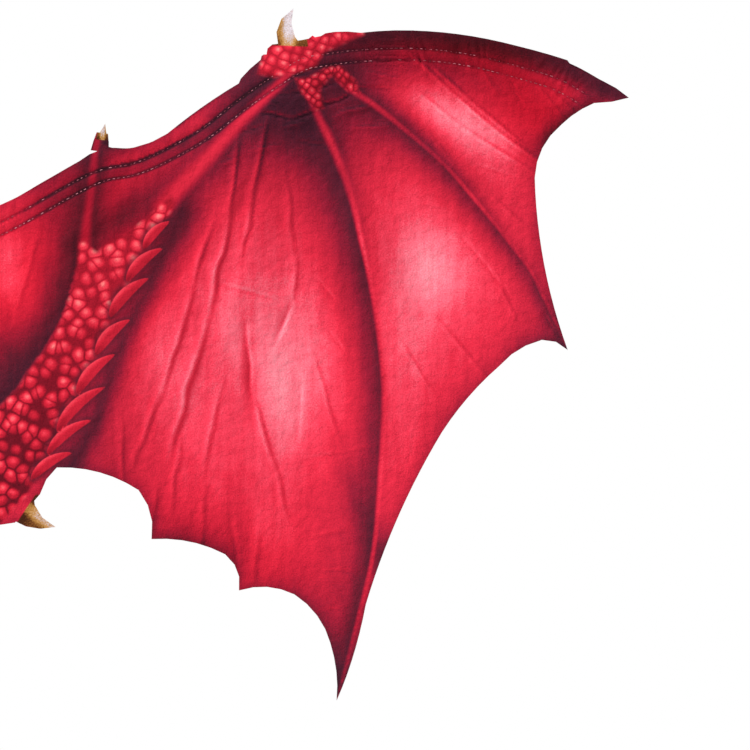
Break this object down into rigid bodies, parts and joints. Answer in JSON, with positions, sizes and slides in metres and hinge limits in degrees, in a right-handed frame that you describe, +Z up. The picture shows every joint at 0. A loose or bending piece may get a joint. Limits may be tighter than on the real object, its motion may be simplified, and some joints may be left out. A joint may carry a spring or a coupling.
{
  "type": "costume dragon wings with elastic arm loops",
  "caption": "Spread costume dragon wings of one printed cloth with a folded top hem, cut-out claws, a spiked tail and elastic arm loops behind.",
  "frame": {"origin": "middle of the top edge of the cloth, at the centre back below the wearer's nape", "axes": "+X along the span to the right as seen facing the printed side, +Y from the printed face through the cloth to the side that the arm loops hang on, +Z up towards the nape"},
  "size_m": [1.2, 0.0408, 0.5088],
  "materials": {
    "printed_cloth": "matte printed polyester cloth, red and maroon membranes with scales and finger bones",
    "black_elastic": "matte black woven elastic"
  },
  "bodies": {
    "root": {"wing_cloth": "printed_cloth", "arm_loop_right": "black_elastic", "arm_loop_left": "black_elastic"}
  },
  "joints": []
}
